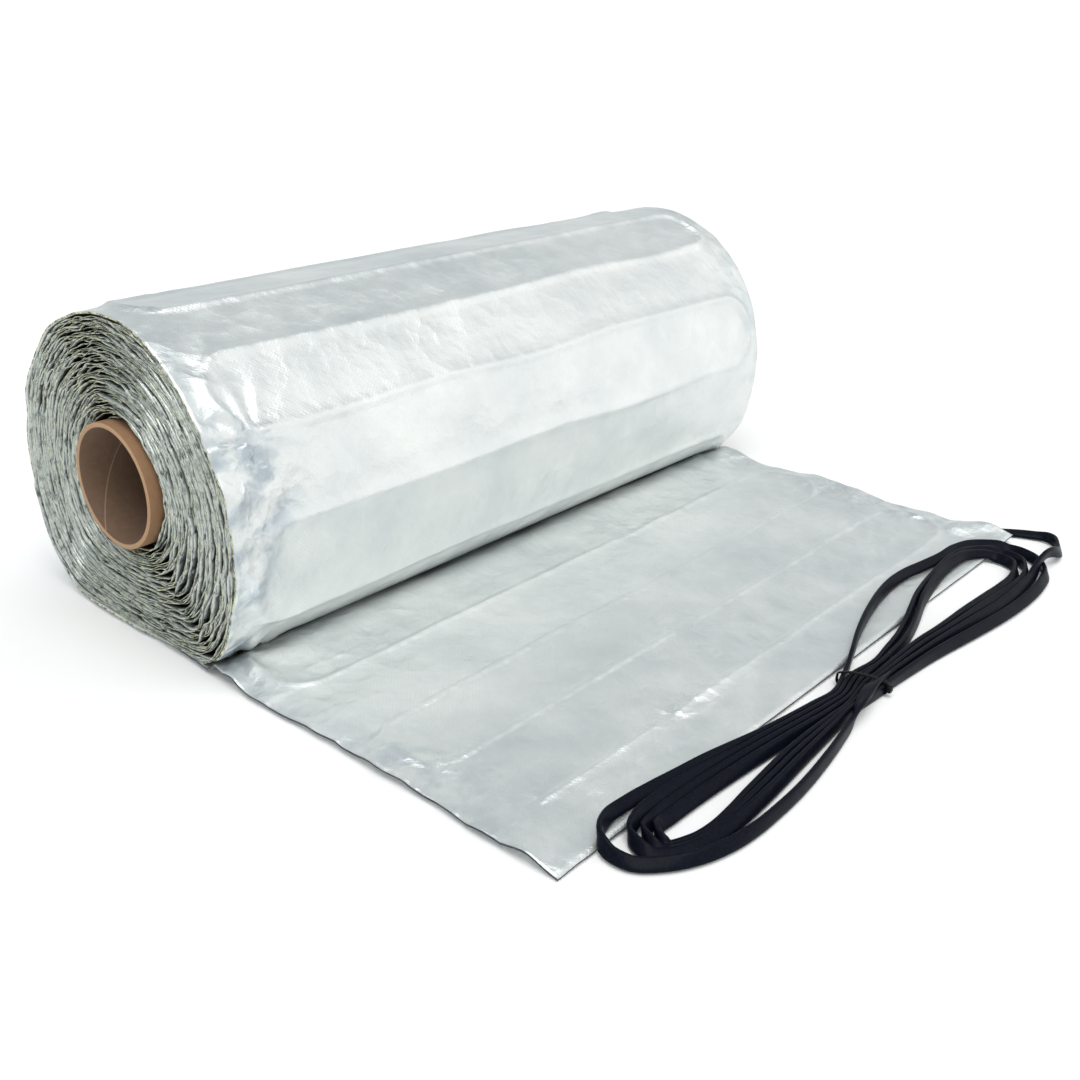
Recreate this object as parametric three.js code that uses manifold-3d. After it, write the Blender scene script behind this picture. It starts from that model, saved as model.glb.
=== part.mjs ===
// Foil underfloor heating mat: a settled roll on a cardboard core, its free end laid flat in front,
// and the flat cold lead folded in a tied hank along the free end.
// Millimetres. X along the roll's axis away from the seen end, -Y towards the free end, Z up,
// origin on the floor under the middle of the roll.
import * as THREE from 'three';
import { mergeVertices } from 'three/addons/utils/BufferGeometryUtils.js';
import Module from 'manifold-3d';

const wasm = await Module();
wasm.setup();

// driving dimensions
const MAT_WIDTH = 500; // the standard laying width
const CORE_BORE = 67; // cardboard core, and how far it stands out at the seen end
const CORE_WALL = 3;
const CORE_OUT = 6;
const CLEAR = 0.3; // between pieces that lie on each other
const TURNS = 20; // wound turns, and their pitch with the air between them
const TURN_PITCH = 3.11;
const TURN_GROOVE = 1.4; // how deep the groove between two turns is on the roll's ends
const LAID_LENGTH = 324; // in front of the core's axis
const LAMINATE = 2.2; // the laid sheet with its scrim
const WIRE_RIDGE = 2.3; // the heating wire's ridge above the foil, and its width at the foot
const WIRE_FOOT = 7;
const WIRE_MARGIN_LEFT = 38; // from the mat's edge to where the straight runs end
const WIRE_MARGIN_RIGHT = 36;
const U_REACH = 24; // how far a U-turn goes on past that
const LEAD_WIDTH = 7.5; // the flat cold lead, which stands on edge in the hank
const LEAD_THICK = 2.8;

// worked out from them
const R_IN = CORE_BORE / 2;
const R_OUT = R_IN + CORE_WALL;
const R_BORE = R_OUT + CLEAR;
const R_ROLL = R_BORE + TURNS * TURN_PITCH;
const HALF = MAT_WIDTH / 2;

// the roll has settled: its outline is an oval, cut flat where it lies on the floor
const AXIS_Y = -1.5;
const AXIS_Z = 0.9434 * R_ROLL;
const OVAL_HALF_WIDTH = 1.036 * R_ROLL;
const OVAL_HALF_HEIGHT = 1.104 * R_ROLL;
const OVAL_Z = 0.801 * R_ROLL;
const SEAT_Z = LAMINATE / 2; // the flat underside lies within the laid sheet's thickness
const EDGE_SHARPNESS = 16; // how abruptly the oval turns into the flat
const UNDER_ROLL = 0.586 * R_ROLL; // the laid sheet runs on this far behind the axis

// distance of each run of the heating wire from the free end: on the laid sheet, and round the roll
const LAID_RUNS = [40, 93, 142, 199];
const ROLL_RUNS = [456, 508, 560, 611, 661, 703.5, 750, 801, 861];

// The hank, seen from above. Each half is a family of loops between an outer and an inner one,
// from the lower side of the waist round to the upper side.
const LEFT_OUTER = [
  [-8, -354], [-39, -358.5], [-79, -368], [-118, -374.5], [-146, -374.5], [-169, -372.5], [-187, -367.5],
  [-202, -361], [-213, -352], [-220.5, -343], [-222.5, -333], [-219.5, -324], [-211, -317.5], [-192, -315],
  [-149, -320.5], [-104, -327.5], [-67, -333.5], [-32, -337.5], [-8, -331.5],
];
const LEFT_INNER = [
  [-67, -350], [-96, -350.7], [-125, -352.7], [-157, -357.4], [-179, -358.4], [-193, -354],
  [-200, -346], [-199, -338], [-190, -332.5], [-158, -335], [-120, -339], [-87, -342],
];
const RIGHT_OUTER = [
  [16, -323.5], [42, -314], [72, -305.5], [105, -299], [130, -297.5], [150, -299.5], [175, -303.5],
  [197, -304.5], [213, -308], [225, -316], [230.5, -326], [230, -338], [226, -350], [219, -361], [204, -367],
  [184, -370.5], [146, -370.5], [105, -366.5], [51, -358.5], [4, -354.5],
];
const RIGHT_INNER = [
  [53, -340], [83, -333.5], [104, -327.5], [132, -321.5], [157, -316.5], [180, -315.5], [197, -317.5],
  [206, -325], [208, -334], [201, -343], [189, -348], [153, -347.4], [118, -345.4], [83, -345.4], [55, -344],
];
const HANK_HEIGHT = 1.45 * LEAD_WIDTH; // strands on edge, with one lying across them at the waist
// the lead's loose first stretch, from under the mat's far corner to the hank
const LOOSE_LEAD = [
  [251.7, -304], [261.5, -317], [268, -330], [270.5, -340], [266.5, -349], [256.5, -355.5],
  [244, -359.5], [222.3, -361.3],
];

const TIE_X = -8; // round the hank's waist
const TIE_WIDTH = 4;
const TIE_THICK = 1;
const TIE_FROM = -358; // the waist's two sides, with the strands in it
const TIE_TO = -327.5;
const TIE_HEAD = 6;

// A mesh as a solid that can be joined and cut, turned right way out.
function solid(geometry) {
  geometry.deleteAttribute('normal');
  geometry.deleteAttribute('uv');
  const merged = mergeVertices(geometry, 1e-4);
  const vertProperties = merged.getAttribute('position').array;
  const triVerts = new Uint32Array(merged.index.array);
  const made = new wasm.Manifold(new wasm.Mesh({ numProp: 3, vertProperties, triVerts }));
  if (made.volume() > 0) return made;
  triVerts.reverse();
  return new wasm.Manifold(new wasm.Mesh({ numProp: 3, vertProperties, triVerts }));
}

function geometryOf(made) {
  const { vertProperties, triVerts } = made.getMesh();
  const geometry = new THREE.BufferGeometry();
  geometry.setAttribute('position', new THREE.BufferAttribute(vertProperties, 3));
  geometry.setIndex(new THREE.BufferAttribute(triVerts, 1));
  geometry.computeVertexNormals();
  return geometry;
}

function block(x0, x1, y0, y1, z0, z1) {
  const geometry = new THREE.BoxGeometry(x1 - x0, y1 - y0, z1 - z0);
  return solid(geometry.translate((x0 + x1) / 2, (y0 + y1) / 2, (z0 + z1) / 2));
}

// A closed profile of [radius, x] points turned about the X axis.
function turned(profile, segments) {
  const geometry = new THREE.LatheGeometry(profile.map(([r, x]) => new THREE.Vector2(r, x)), segments);
  return geometry.rotateZ(-Math.PI / 2);
}

// A ring of section points at each place along a line, joined into a closed body.
function swept(rings) {
  const around = rings[0].length;
  const triangles = [];
  for (let i = 0; i + 1 < rings.length; i++)
    for (let j = 0; j < around; j++) {
      const a = i * around + j;
      const b = i * around + ((j + 1) % around);
      triangles.push(a, a + around, b, b, a + around, b + around);
    }
  const last = (rings.length - 1) * around;
  for (let j = 1; j + 1 < around; j++) triangles.push(0, j, j + 1, last, last + j + 1, last + j);
  const geometry = new THREE.BufferGeometry();
  const points = rings.flat().flatMap(p => p.toArray());
  geometry.setAttribute('position', new THREE.BufferAttribute(new Float32Array(points), 3));
  geometry.setIndex(triangles);
  return solid(geometry);
}

// Distance from the core's axis to the settled outline, at an angle from straight up towards +Y.
function rim(angle) {
  const sy = Math.sin(angle);
  const cz = Math.cos(angle);
  const up = AXIS_Z - OVAL_Z;
  const a = (sy / OVAL_HALF_WIDTH) ** 2 + (cz / OVAL_HALF_HEIGHT) ** 2;
  const b = (AXIS_Y * sy) / OVAL_HALF_WIDTH ** 2 + (up * cz) / OVAL_HALF_HEIGHT ** 2;
  const c = (AXIS_Y / OVAL_HALF_WIDTH) ** 2 + (up / OVAL_HALF_HEIGHT) ** 2 - 1;
  const oval = (-b + Math.sqrt(b * b - a * c)) / a;
  if (cz > -0.05) return oval;
  const flat = (AXIS_Z - SEAT_Z) / -cz;
  return (oval ** -EDGE_SHARPNESS + flat ** -EDGE_SHARPNESS) ** (-1 / EDGE_SHARPNESS);
}

// A round ring becomes the settled roll: nothing moves at the bore, and the rim takes the outline.
function settle(geometry) {
  const position = geometry.getAttribute('position');
  for (let i = 0; i < position.count; i++) {
    const radius = Math.hypot(position.getY(i), position.getZ(i));
    const angle = Math.atan2(position.getY(i), position.getZ(i));
    const share = Math.max(0, radius - R_BORE) / (R_ROLL - R_BORE);
    const settled = Math.min(radius, R_BORE) + share * (rim(angle) - R_BORE);
    position.setY(i, AXIS_Y + settled * Math.sin(angle));
    position.setZ(i, AXIS_Z + settled * Math.cos(angle));
  }
  return geometry;
}

// The wound turns: one ring whose ends carry a ridge for each turn.
function woundTurns() {
  const end = [[R_BORE, HALF - TURN_GROOVE]];
  for (let turn = 0; turn < TURNS; turn++) {
    const outermost = turn === TURNS - 1;
    end.push([R_BORE + (turn + 0.55) * TURN_PITCH, HALF]);
    end.push([R_BORE + (turn + 1) * TURN_PITCH, HALF - (outermost ? CLEAR : TURN_GROOVE)]);
  }
  const near = end.map(([r, x]) => [r, -x]);
  const profile = [...near, ...end.reverse(), near[0]];
  return settle(turned(profile, 40));
}

// The settled outline as a line from behind the seat, over the top, to in front of it,
// each point with the mat's length from the free end.
const outline = [];
for (let i = 0; i <= 1200; i++) {
  const angle = Math.PI - 0.62 - (i / 1200) * (2 * Math.PI - 1.24);
  const y = AXIS_Y + rim(angle) * Math.sin(angle);
  const z = AXIS_Z + rim(angle) * Math.cos(angle);
  const before = outline.at(-1);
  const run = before ? before.run + Math.hypot(y - before.y, z - before.z) : LAID_LENGTH + y;
  outline.push({ y, z, run });
}

// The point on the mat at x and a distance from the free end, and the way out of its surface.
function onMat(x, run) {
  if (run < outline[0].run)
    return { at: new THREE.Vector3(x, run - LAID_LENGTH, LAMINATE), out: new THREE.Vector3(0, 0, 1) };
  const i = Math.max(1, outline.findIndex(p => p.run >= run));
  const [before, after] = [outline[i - 1], outline[i]];
  const t = (run - before.run) / (after.run - before.run);
  const at = new THREE.Vector3(x, before.y, before.z).lerp(new THREE.Vector3(x, after.y, after.z), t);
  const out = new THREE.Vector3(0, after.z - before.z, before.y - after.y).normalize();
  return { at, out };
}

// The heating wire's way over the mat: straight runs across it, joined by U-turns.
function serpentine(runs) {
  const left = -HALF + WIRE_MARGIN_LEFT;
  const right = HALF - WIRE_MARGIN_RIGHT;
  const way = [];
  runs.forEach((run, k) => {
    const [from, to] = k % 2 ? [right, left] : [left, right];
    way.push([from, run], [(from + to) / 2, run], [to, run]);
    if (k + 1 === runs.length) return;
    const half = (runs[k + 1] - run) / 2;
    for (const turn of [-50, 0, 50]) {
      const angle = THREE.MathUtils.degToRad(turn);
      way.push([to + Math.sign(to) * U_REACH * Math.cos(angle), run + half + half * Math.sin(angle) * 1.06]);
    }
  });
  return way;
}

// The ridge that the wire makes in the foil, a low tent along its way.
function wireRidge(runs) {
  const way = serpentine(runs).map(([x, run]) => onMat(x, run));
  return swept(way.map(({ at, out }, i) => {
    const along = way[Math.min(i + 1, way.length - 1)].at.clone().sub(way[Math.max(i - 1, 0)].at);
    const across = out.clone().cross(along).normalize();
    const corner = (u, v) => at.clone().addScaledVector(across, u).addScaledVector(out, v);
    const root = -LAMINATE / 3;
    return [corner(-WIRE_FOOT / 2, root), corner(WIRE_FOOT / 2, root), corner(0, WIRE_RIDGE)];
  }));
}

const laidSheet = block(-HALF, HALF, -LAID_LENGTH, UNDER_ROLL, 0, LAMINATE);
const mat = solid(woundTurns()).add(laidSheet).add(wireRidge(LAID_RUNS)).add(wireRidge(ROLL_RUNS));

const coreProfile = [[R_IN, -HALF - CORE_OUT], [R_OUT, -HALF - CORE_OUT], [R_OUT, HALF], [R_IN, HALF]];
const core = solid(turned([...coreProfile, coreProfile[0]], 48).translate(0, AXIS_Y, AXIS_Z));

// A closed outline moved out by a distance, or in where it is negative.
function moved(points, distance) {
  return points.map(([x, y], i) => {
    const [x0, y0] = points[(i + points.length - 1) % points.length];
    const [x1, y1] = points[(i + 1) % points.length];
    const length = Math.hypot(x1 - x0, y1 - y0);
    return new THREE.Vector2(x + ((y1 - y0) / length) * distance, y - ((x1 - x0) / length) * distance);
  });
}

function hankBlock() {
  const waistless = points => points.filter(([x]) => Math.abs(x - TIE_X) > 1);
  const around = [...waistless(LEFT_OUTER), ...RIGHT_OUTER].reverse();
  const shape = new THREE.Shape(moved(around, LEAD_THICK / 2));
  for (const opening of [LEFT_INNER, RIGHT_INNER])
    shape.holes.push(new THREE.Path(moved([...opening].reverse(), -LEAD_THICK / 2)));
  const bundle = solid(new THREE.ExtrudeGeometry(shape, { depth: HANK_HEIGHT, bevelEnabled: false }));
  const overMat = block(-HALF - 20, HALF + 20, -LAID_LENGTH - CLEAR, -LAID_LENGTH / 2, -1, LAMINATE + CLEAR);
  const half = TIE_WIDTH / 2 + 2 * CLEAR;
  const tieSlot = block(TIE_X - half, TIE_X + half, TIE_FROM - 60, TIE_TO + 60, -1, TIE_THICK + 2 * CLEAR);
  return bundle.subtract(overMat).subtract(tieSlot);
}

function tieBand() {
  const [x0, x1] = [TIE_X - TIE_WIDTH / 2, TIE_X + TIE_WIDTH / 2];
  const top = HANK_HEIGHT + CLEAR;
  const outside = block(x0, x1, TIE_FROM - TIE_THICK, TIE_TO + TIE_THICK, CLEAR, top + TIE_THICK);
  const inside = block(x0 - 1, x1 + 1, TIE_FROM, TIE_TO, CLEAR + TIE_THICK, top);
  const middle = (TIE_FROM + TIE_TO) / 2;
  const [h0, h1] = [middle - TIE_HEAD / 2, middle + TIE_HEAD / 2];
  const head = block(x0 - 1, x1 + 1, h0, h1, top + TIE_THICK / 2, top + TIE_HEAD / 2);
  return outside.subtract(inside).add(head);
}

function looseLead() {
  const height = LEAD_WIDTH / 2 + CLEAR;
  const line = new THREE.CatmullRomCurve3(LOOSE_LEAD.map(([x, y]) => new THREE.Vector3(x, y, height)));
  const points = line.getSpacedPoints(20);
  const [w, t, round] = [LEAD_WIDTH / 2, LEAD_THICK / 2, LEAD_THICK / 3];
  const section = [[-w, -t + round], [-w + round, -t], [w - round, -t], [w, -t + round],
    [w, t - round], [w - round, t], [-w + round, t], [-w, t - round]];
  return swept(points.map((point, i) => {
    const [before, after] = [points[Math.max(i - 1, 0)], points[Math.min(i + 1, points.length - 1)]];
    const along = after.clone().sub(before).normalize();
    const place = ([up, across]) => point.clone().add(new THREE.Vector3(-along.y * across, along.x * across, up));
    return section.map(place);
  }));
}

const foil = new THREE.MeshStandardMaterial({ color: 0xc9cdcb, metalness: 0.8, roughness: 0.4 });
const cardboard = new THREE.MeshStandardMaterial({ color: 0xb08a62, roughness: 0.9 });
const sheath = new THREE.MeshStandardMaterial({ color: 0x15171a, roughness: 0.5 });
const nylon = new THREE.MeshStandardMaterial({ color: 0x0c0c0d, roughness: 0.45 });

const pieces = [
  ['heating_mat', mat, foil],
  ['core_tube', core, cardboard],
  ['supply_cord', looseLead(), sheath],
  ['cord_hank', hankBlock(), sheath],
  ['cable_tie', tieBand(), nylon],
];
const part = new THREE.Group();
for (const [name, made, material] of pieces) {
  const mesh = new THREE.Mesh(geometryOf(made), material);
  mesh.name = name;
  part.add(mesh);
}

export default part;
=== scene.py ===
import bpy
import numpy as np
from mathutils import Matrix


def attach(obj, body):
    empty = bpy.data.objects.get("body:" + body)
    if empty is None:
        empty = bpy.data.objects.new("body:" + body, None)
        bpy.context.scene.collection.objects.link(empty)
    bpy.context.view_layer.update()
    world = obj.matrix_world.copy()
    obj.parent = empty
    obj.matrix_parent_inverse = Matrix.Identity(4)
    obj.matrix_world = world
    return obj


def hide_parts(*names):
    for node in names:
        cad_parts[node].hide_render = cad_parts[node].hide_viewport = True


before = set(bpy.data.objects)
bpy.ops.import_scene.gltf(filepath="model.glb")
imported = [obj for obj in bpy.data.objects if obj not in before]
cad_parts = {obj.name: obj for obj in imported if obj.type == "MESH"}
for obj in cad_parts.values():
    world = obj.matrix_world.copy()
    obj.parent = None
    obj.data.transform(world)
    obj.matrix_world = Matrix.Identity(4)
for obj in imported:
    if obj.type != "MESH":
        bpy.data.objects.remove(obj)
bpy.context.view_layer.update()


# The camera stands above the roll's near end and looks along its front, at the photograph's angle.
# Its place and lens were fitted to the mat's 500 mm width and to the core's round ends.
CAMERA_PLACE = (-0.5853, -0.5925, 0.3627)
CAMERA_AZIMUTH = np.radians(-49.696)
CAMERA_ELEVATION = np.radians(24.763)
CAMERA_ROLL = np.radians(2.080)
SENSOR = 36.0
FOCAL_PIXELS = 1243.9
PHOTO_PIXELS = 1080


def looking(azimuth, elevation, roll):
    """Rotation whose -Z looks down at an elevation from an azimuth, turned by a roll about the view."""
    back = np.array([
        np.sin(azimuth) * np.cos(elevation),
        -np.cos(azimuth) * np.cos(elevation),
        np.sin(elevation),
    ])
    right = np.array([np.cos(azimuth), np.sin(azimuth), 0.0])
    up = np.cross(back, right)
    turned = right * np.cos(roll) + up * np.sin(roll)
    return np.column_stack([turned, np.cross(back, turned), back])


camera_data = bpy.data.cameras.new("camera")
camera_data.sensor_width = SENSOR
camera_data.lens = SENSOR * FOCAL_PIXELS / PHOTO_PIXELS
camera = bpy.data.objects.new("camera", camera_data)
pose = np.eye(4)
pose[:3, :3] = looking(CAMERA_AZIMUTH, CAMERA_ELEVATION, CAMERA_ROLL)
pose[:3, 3] = CAMERA_PLACE
camera.matrix_world = Matrix(pose.tolist())
bpy.context.scene.collection.objects.link(camera)
bpy.context.scene.camera = camera


# The cold lead is a flat black three-core cable. It leaves from under the far corner of the free end,
# runs round in a short loop and is folded lengthwise into a hank of four turns along the mat's edge.
LEAD_WIDTH = 0.0075
LEAD_THICK = 0.0028
MAT_EDGE = -0.324
MAT_TOP = 0.0024
WAIST = -0.008
STEP = 0.002
# half the stretches in which the lead comes from under the corner, crosses a turn and crosses the waist
UNDER_CORNER, OVER_TURN, OVER_WAIST = 0.075, 0.030, 0.034
# the flat strands lie over like fallen dominoes, away from the near corner
SLUMP = np.radians(70)
SLUMP_TOWARDS = np.array([0.70, 0.71])

# the hank's outermost and innermost loops on both sides of its waist, and the loose stretch, in mm
LEFT_OUTER = np.array([
    (-39, -356.5), (-79, -364), (-118, -369), (-146, -370), (-169, -369), (-187, -365),
    (-202, -358.5), (-213, -350), (-220, -341), (-221.5, -332), (-218.5, -323.5), (-210, -317.3),
    (-192, -315.5), (-149, -321), (-104, -328), (-67, -333.5), (-32, -337.5),
]) / 1000
LEFT_INNER = np.array([
    (-39, -349.5), (-67, -348.8), (-96, -349), (-125, -351.4), (-144, -353.2), (-170, -355.5),
    (-185, -353.8), (-196, -349), (-200.5, -343), (-196, -337.5), (-180, -335.5), (-158, -336),
    (-120, -338.5), (-87, -341.5), (-50, -345.5), (-30, -346),
]) / 1000
RIGHT_OUTER = np.array([
    (16, -323.5), (42, -314), (72, -305.5), (105, -299), (130, -297.5), (150, -299.5),
    (175, -303.5), (197, -304.5), (213, -308), (225, -316), (230.5, -326), (230, -338), (226, -350),
    (219, -359.5), (204, -365.5), (184, -368.7), (146, -368.9), (105, -365), (51, -358),
    (4, -354.5),
]) / 1000
RIGHT_INNER = np.array([
    (16, -341), (53, -338.5), (83, -331.5), (104, -325), (132, -318.5), (157, -314), (180, -312.7),
    (197, -315), (208, -323), (211, -334), (204, -345), (189, -350.5), (153, -350.2), (118, -348.5),
    (83, -347.5), (55, -345.5), (4, -345.3),
]) / 1000
LOOSE_LEAD = np.array([
    (240, -290), (251.7, -304), (261.5, -317), (268, -330), (270.5, -340), (266.5, -349),
    (256.5, -355.5), (244, -359.5), (222.3, -361.3),
]) / 1000
# where each turn lies between the outer loop (0) and the inner one (1): going out, at the end, coming back
LEFT_SHARES = [(0.0, 0.0, 0.0), (0.58, 0.55, 0.31), (0.79, 0.78, 0.65), (1.0, 1.0, 1.0)]
RIGHT_SHARES = [(0.0, 0.0, 0.0), (0.82, 0.56, 0.74), (1.0, 1.0, 1.0)]
# the strands' lines through the waist
LOWER_LANES = [-0.3540, -0.3510, -0.3480, -0.3450]
UPPER_LANES = [-0.3315, -0.3355, -0.3387, -0.3418]


def along(points):
    """Distance run along a line of points, from 0 to 1."""
    run = np.concatenate([[0.0], np.cumsum(np.linalg.norm(np.diff(points, axis=0), axis=1))])
    return run / run[-1]


def flowing(points, step):
    """A smooth line through given points: each coordinate is a cubic in the run between two points,
    with its slope there the mean of the chords on both sides; then evenly spaced by the step."""
    points = np.asarray(points, float)
    run = np.concatenate([[0.0], np.cumsum(np.linalg.norm(np.diff(points, axis=0), axis=1))])
    chord = np.diff(points, axis=0) / np.diff(run)[:, None]
    slope = np.vstack([chord[:1], (chord[1:] + chord[:-1]) / 2, chord[-1:]])
    fine = np.linspace(0, run[-1], int(run[-1] / step * 4) + 2)
    i = np.clip(np.searchsorted(run, fine, side="right") - 1, 0, len(points) - 2)
    h = np.diff(run)[i][:, None]
    t = ((fine - run[i]) / h[:, 0])[:, None]
    line = (
        (2 * t**3 - 3 * t**2 + 1) * points[i]
        + (t**3 - 2 * t**2 + t) * h * slope[i]
        + (3 * t**2 - 2 * t**3) * points[i + 1]
        + (t**3 - t**2) * h * slope[i + 1]
    )
    far = np.concatenate([[0.0], np.cumsum(np.linalg.norm(np.diff(line, axis=0), axis=1))])
    even = np.linspace(0, far[-1], int(far[-1] / step) + 2)
    return np.column_stack([np.interp(even, far, line[:, k]) for k in range(points.shape[1])])


def nested(outer, inner, shares):
    """One loop of the hank, at shares between an outer and an inner loop that vary along it."""
    t = np.linspace(0, 1, 24)
    a = flowing(outer, 0.001)
    b = flowing(inner, 0.001)
    a = np.column_stack([np.interp(t, along(a), a[:, k]) for k in range(2)])
    b = np.column_stack([np.interp(t, along(b), b[:, k]) for k in range(2)])
    first, middle, last = shares
    share = np.interp(t, [0, 0.3, 0.5, 0.7, 1], [first, first, middle, last, last])[:, None]
    return a * (1 - share) + b * share


def hank_route():
    """The lead's way seen from above: the loose stretch, then four turns from the outside in. The first
    turn takes the outer loop on the left and the second the outer lane on the right, so they cross at
    the waist."""
    entering = [(0.2150, -0.3575), (0.1900, -0.3600), (0.1460, -0.3610), (0.1050, -0.3575), (0.0510, -0.3530)]
    parts = [LOOSE_LEAD[:-1], np.array(entering)]
    for turn, lane in enumerate([1, 0, 2, 3]):
        parts.append(np.array([(WAIST, LOWER_LANES[lane])]))
        parts.append(nested(LEFT_OUTER, LEFT_INNER, LEFT_SHARES[turn]))
        parts.append(np.array([(WAIST, UPPER_LANES[turn])]))
        if turn < 3:
            parts.append(nested(RIGHT_OUTER, RIGHT_INNER, RIGHT_SHARES[turn]))
    parts.append(np.array([(0.012, -0.3410), (0.030, -0.3405)]))
    return flowing(np.vstack(parts), STEP)


def nearest(points, place, first, last):
    """Number of the point nearest to a place, among the given share of a line."""
    a, b = int(first * len(points)), int(last * len(points))
    return a + int(np.argmin(np.linalg.norm(points[a:b, :2] - np.array(place), axis=1)))


def hump(points, centre, half):
    """A smooth rise from 0 to 1 and back along a line, round the point of that number."""
    far = (np.arange(len(points)) - centre) * STEP / half
    return np.where(np.abs(far) < 1, 0.5 + 0.5 * np.cos(np.pi * np.clip(far, -1, 1)), 0.0)


def tube_faces(rings, around):
    """Quads between rings of points, each with the same number of points, and a face at either end."""
    i, j = np.meshgrid(np.arange(rings - 1), np.arange(around), indexing="ij")
    k = (j + 1) % around
    faces = np.stack([i * around + j, i * around + k, (i + 1) * around + k, (i + 1) * around + j], -1)
    faces = faces.reshape(-1, 4).tolist()
    faces.append(list(range(around))[::-1])
    faces.append([(rings - 1) * around + j for j in range(around)])
    return faces


def flat_tube(line, upright, width, thick, around=20):
    """A flat section with rounded edges at each point of a line, its width along the upright direction
    there. The section is a superellipse of power 4."""
    ahead = np.gradient(line, axis=0)
    ahead /= np.linalg.norm(ahead, axis=1)[:, None]
    wide = upright - (upright * ahead).sum(1)[:, None] * ahead
    wide /= np.linalg.norm(wide, axis=1)[:, None]
    flat = np.cross(ahead, wide)
    angle = np.linspace(0, 2 * np.pi, around, endpoint=False)
    c, s = np.cos(angle), np.sin(angle)
    reach = (np.abs(c) ** 4 + np.abs(s) ** 4) ** -0.25
    u, v = c * reach * width / 2, s * reach * thick / 2
    points = line[:, None] + wide[:, None] * u[None, :, None] + flat[:, None] * v[None, :, None]
    return points.reshape(-1, 3), tube_faces(len(line), around)


def add_piece(name, points, faces):
    """A smooth mesh object at the origin, with its place in its points."""
    mesh = bpy.data.meshes.new(name)
    mesh.from_pydata(np.asarray(points).tolist(), [], faces)
    mesh.polygons.foreach_set("use_smooth", np.full(len(mesh.polygons), True))
    mesh.update()
    piece = bpy.data.objects.new(name, mesh)
    bpy.context.scene.collection.objects.link(piece)
    return piece


plan = hank_route()
# strands over the free end stand on the mat; the loose stretch starts on the floor
on_mat = np.clip((plan[:, 1] - MAT_EDGE + 0.007) / 0.009, 0, 1)
on_mat = on_mat * on_mat * (3 - 2 * on_mat) * np.clip((0.2525 - plan[:, 0]) / 0.003, 0, 1)
on_mat[:int(0.06 / STEP)] = 0
# the lead lies flat under the mat's corner and where it goes over other strands
under_corner = hump(plan, 0, UNDER_CORNER)
crossing_turn = hump(plan, nearest(plan, (0.226, -0.3555), 0, 0.1), OVER_TURN)
crossing_waist = hump(plan, nearest(plan, (-0.022, -0.3545), 0, 0.25), OVER_WAIST)
ahead = np.gradient(plan, axis=0)
ahead /= np.linalg.norm(ahead, axis=1)[:, None]
sideways = np.column_stack([-ahead[:, 1], ahead[:, 0]])
# strands stand up at the waist and lie over away from it, less so at the near loop's outer side
from_waist = np.clip((np.abs(plan[:, 0] - WAIST) - 0.015) / 0.150, 0, 1)
lean = SLUMP * from_waist * (sideways @ SLUMP_TOWARDS)
lean *= 1 - 0.55 * hump(plan, nearest(plan, (-0.150, -0.3700), 0, 1), 0.120)
lean += np.radians(78) * crossing_waist + np.radians(60) * crossing_turn
lean = lean * (1 - under_corner) + np.radians(88) * under_corner
standing = np.abs(np.cos(lean)) * LEAD_WIDTH / 2 + np.abs(np.sin(lean)) * LEAD_THICK / 2
height = standing + on_mat * MAT_TOP + (crossing_turn + crossing_waist) * (LEAD_WIDTH + 0.0003)
lead_line = np.column_stack([plan, height])
upright = np.column_stack([sideways * np.sin(lean)[:, None], np.cos(lean)])
cold_lead = add_piece("cold_lead", *flat_tube(lead_line, upright, LEAD_WIDTH, LEAD_THICK))


def plain(name, colour, roughness, metallic=0.0):
    """A Principled material with its own colour, roughness and metallic."""
    material = bpy.data.materials.new(name)
    material.use_nodes = True
    shader = material.node_tree.nodes["Principled BSDF"]
    shader.inputs["Base Color"].default_value = (*colour, 1)
    shader.inputs["Roughness"].default_value = roughness
    shader.inputs["Metallic"].default_value = metallic
    return material


def add_node(tree, kind, settings=None, **inputs):
    """A shader node with its settings, and each input linked to a socket or given a value."""
    node = tree.nodes.new(kind)
    for key, value in (settings or {}).items():
        setattr(node, key, value)
    for key, value in inputs.items():
        socket = node.inputs[int(key[1:])] if key[1:].isdigit() else node.inputs[key.replace("_", " ")]
        if isinstance(value, bpy.types.NodeSocket):
            tree.links.new(value, socket)
        else:
            socket.default_value = value
    return node


def sums(tree, operation, *values):
    """The result of a math node."""
    inputs = {f"n{k}": value for k, value in enumerate(values)}
    return add_node(tree, "ShaderNodeMath", {"operation": operation}, **inputs).outputs[0]


def shade(tree, value, low, high):
    """A value from 0 to 1 taken to a range."""
    return add_node(tree, "ShaderNodeMapRange", None, Value=value, To_Min=low, To_Max=high).outputs[0]


def ranged(tree, value, low, high):
    """A value taken from a range to 0 to 1, and held there outside it."""
    return add_node(tree, "ShaderNodeMapRange", None, Value=value, From_Min=low, From_Max=high).outputs[0]


def noise(tree, place, scale, detail=2.0, roughness=0.5):
    """The value of a noise at a place."""
    inputs = {"Vector": place, "Scale": scale, "Detail": detail, "Roughness": roughness}
    return add_node(tree, "ShaderNodeTexNoise", None, **inputs).outputs[0]


def between(tree, value, first, second):
    """A colour between two, each a plain colour or a node's result, by a value from 0 to 1."""
    a, b = [end if isinstance(end, bpy.types.NodeSocket) else (*end, 1) for end in (first, second)]
    return add_node(tree, "ShaderNodeMix", {"data_type": "RGBA"}, Factor=value, n6=a, n7=b).outputs[2]


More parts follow.
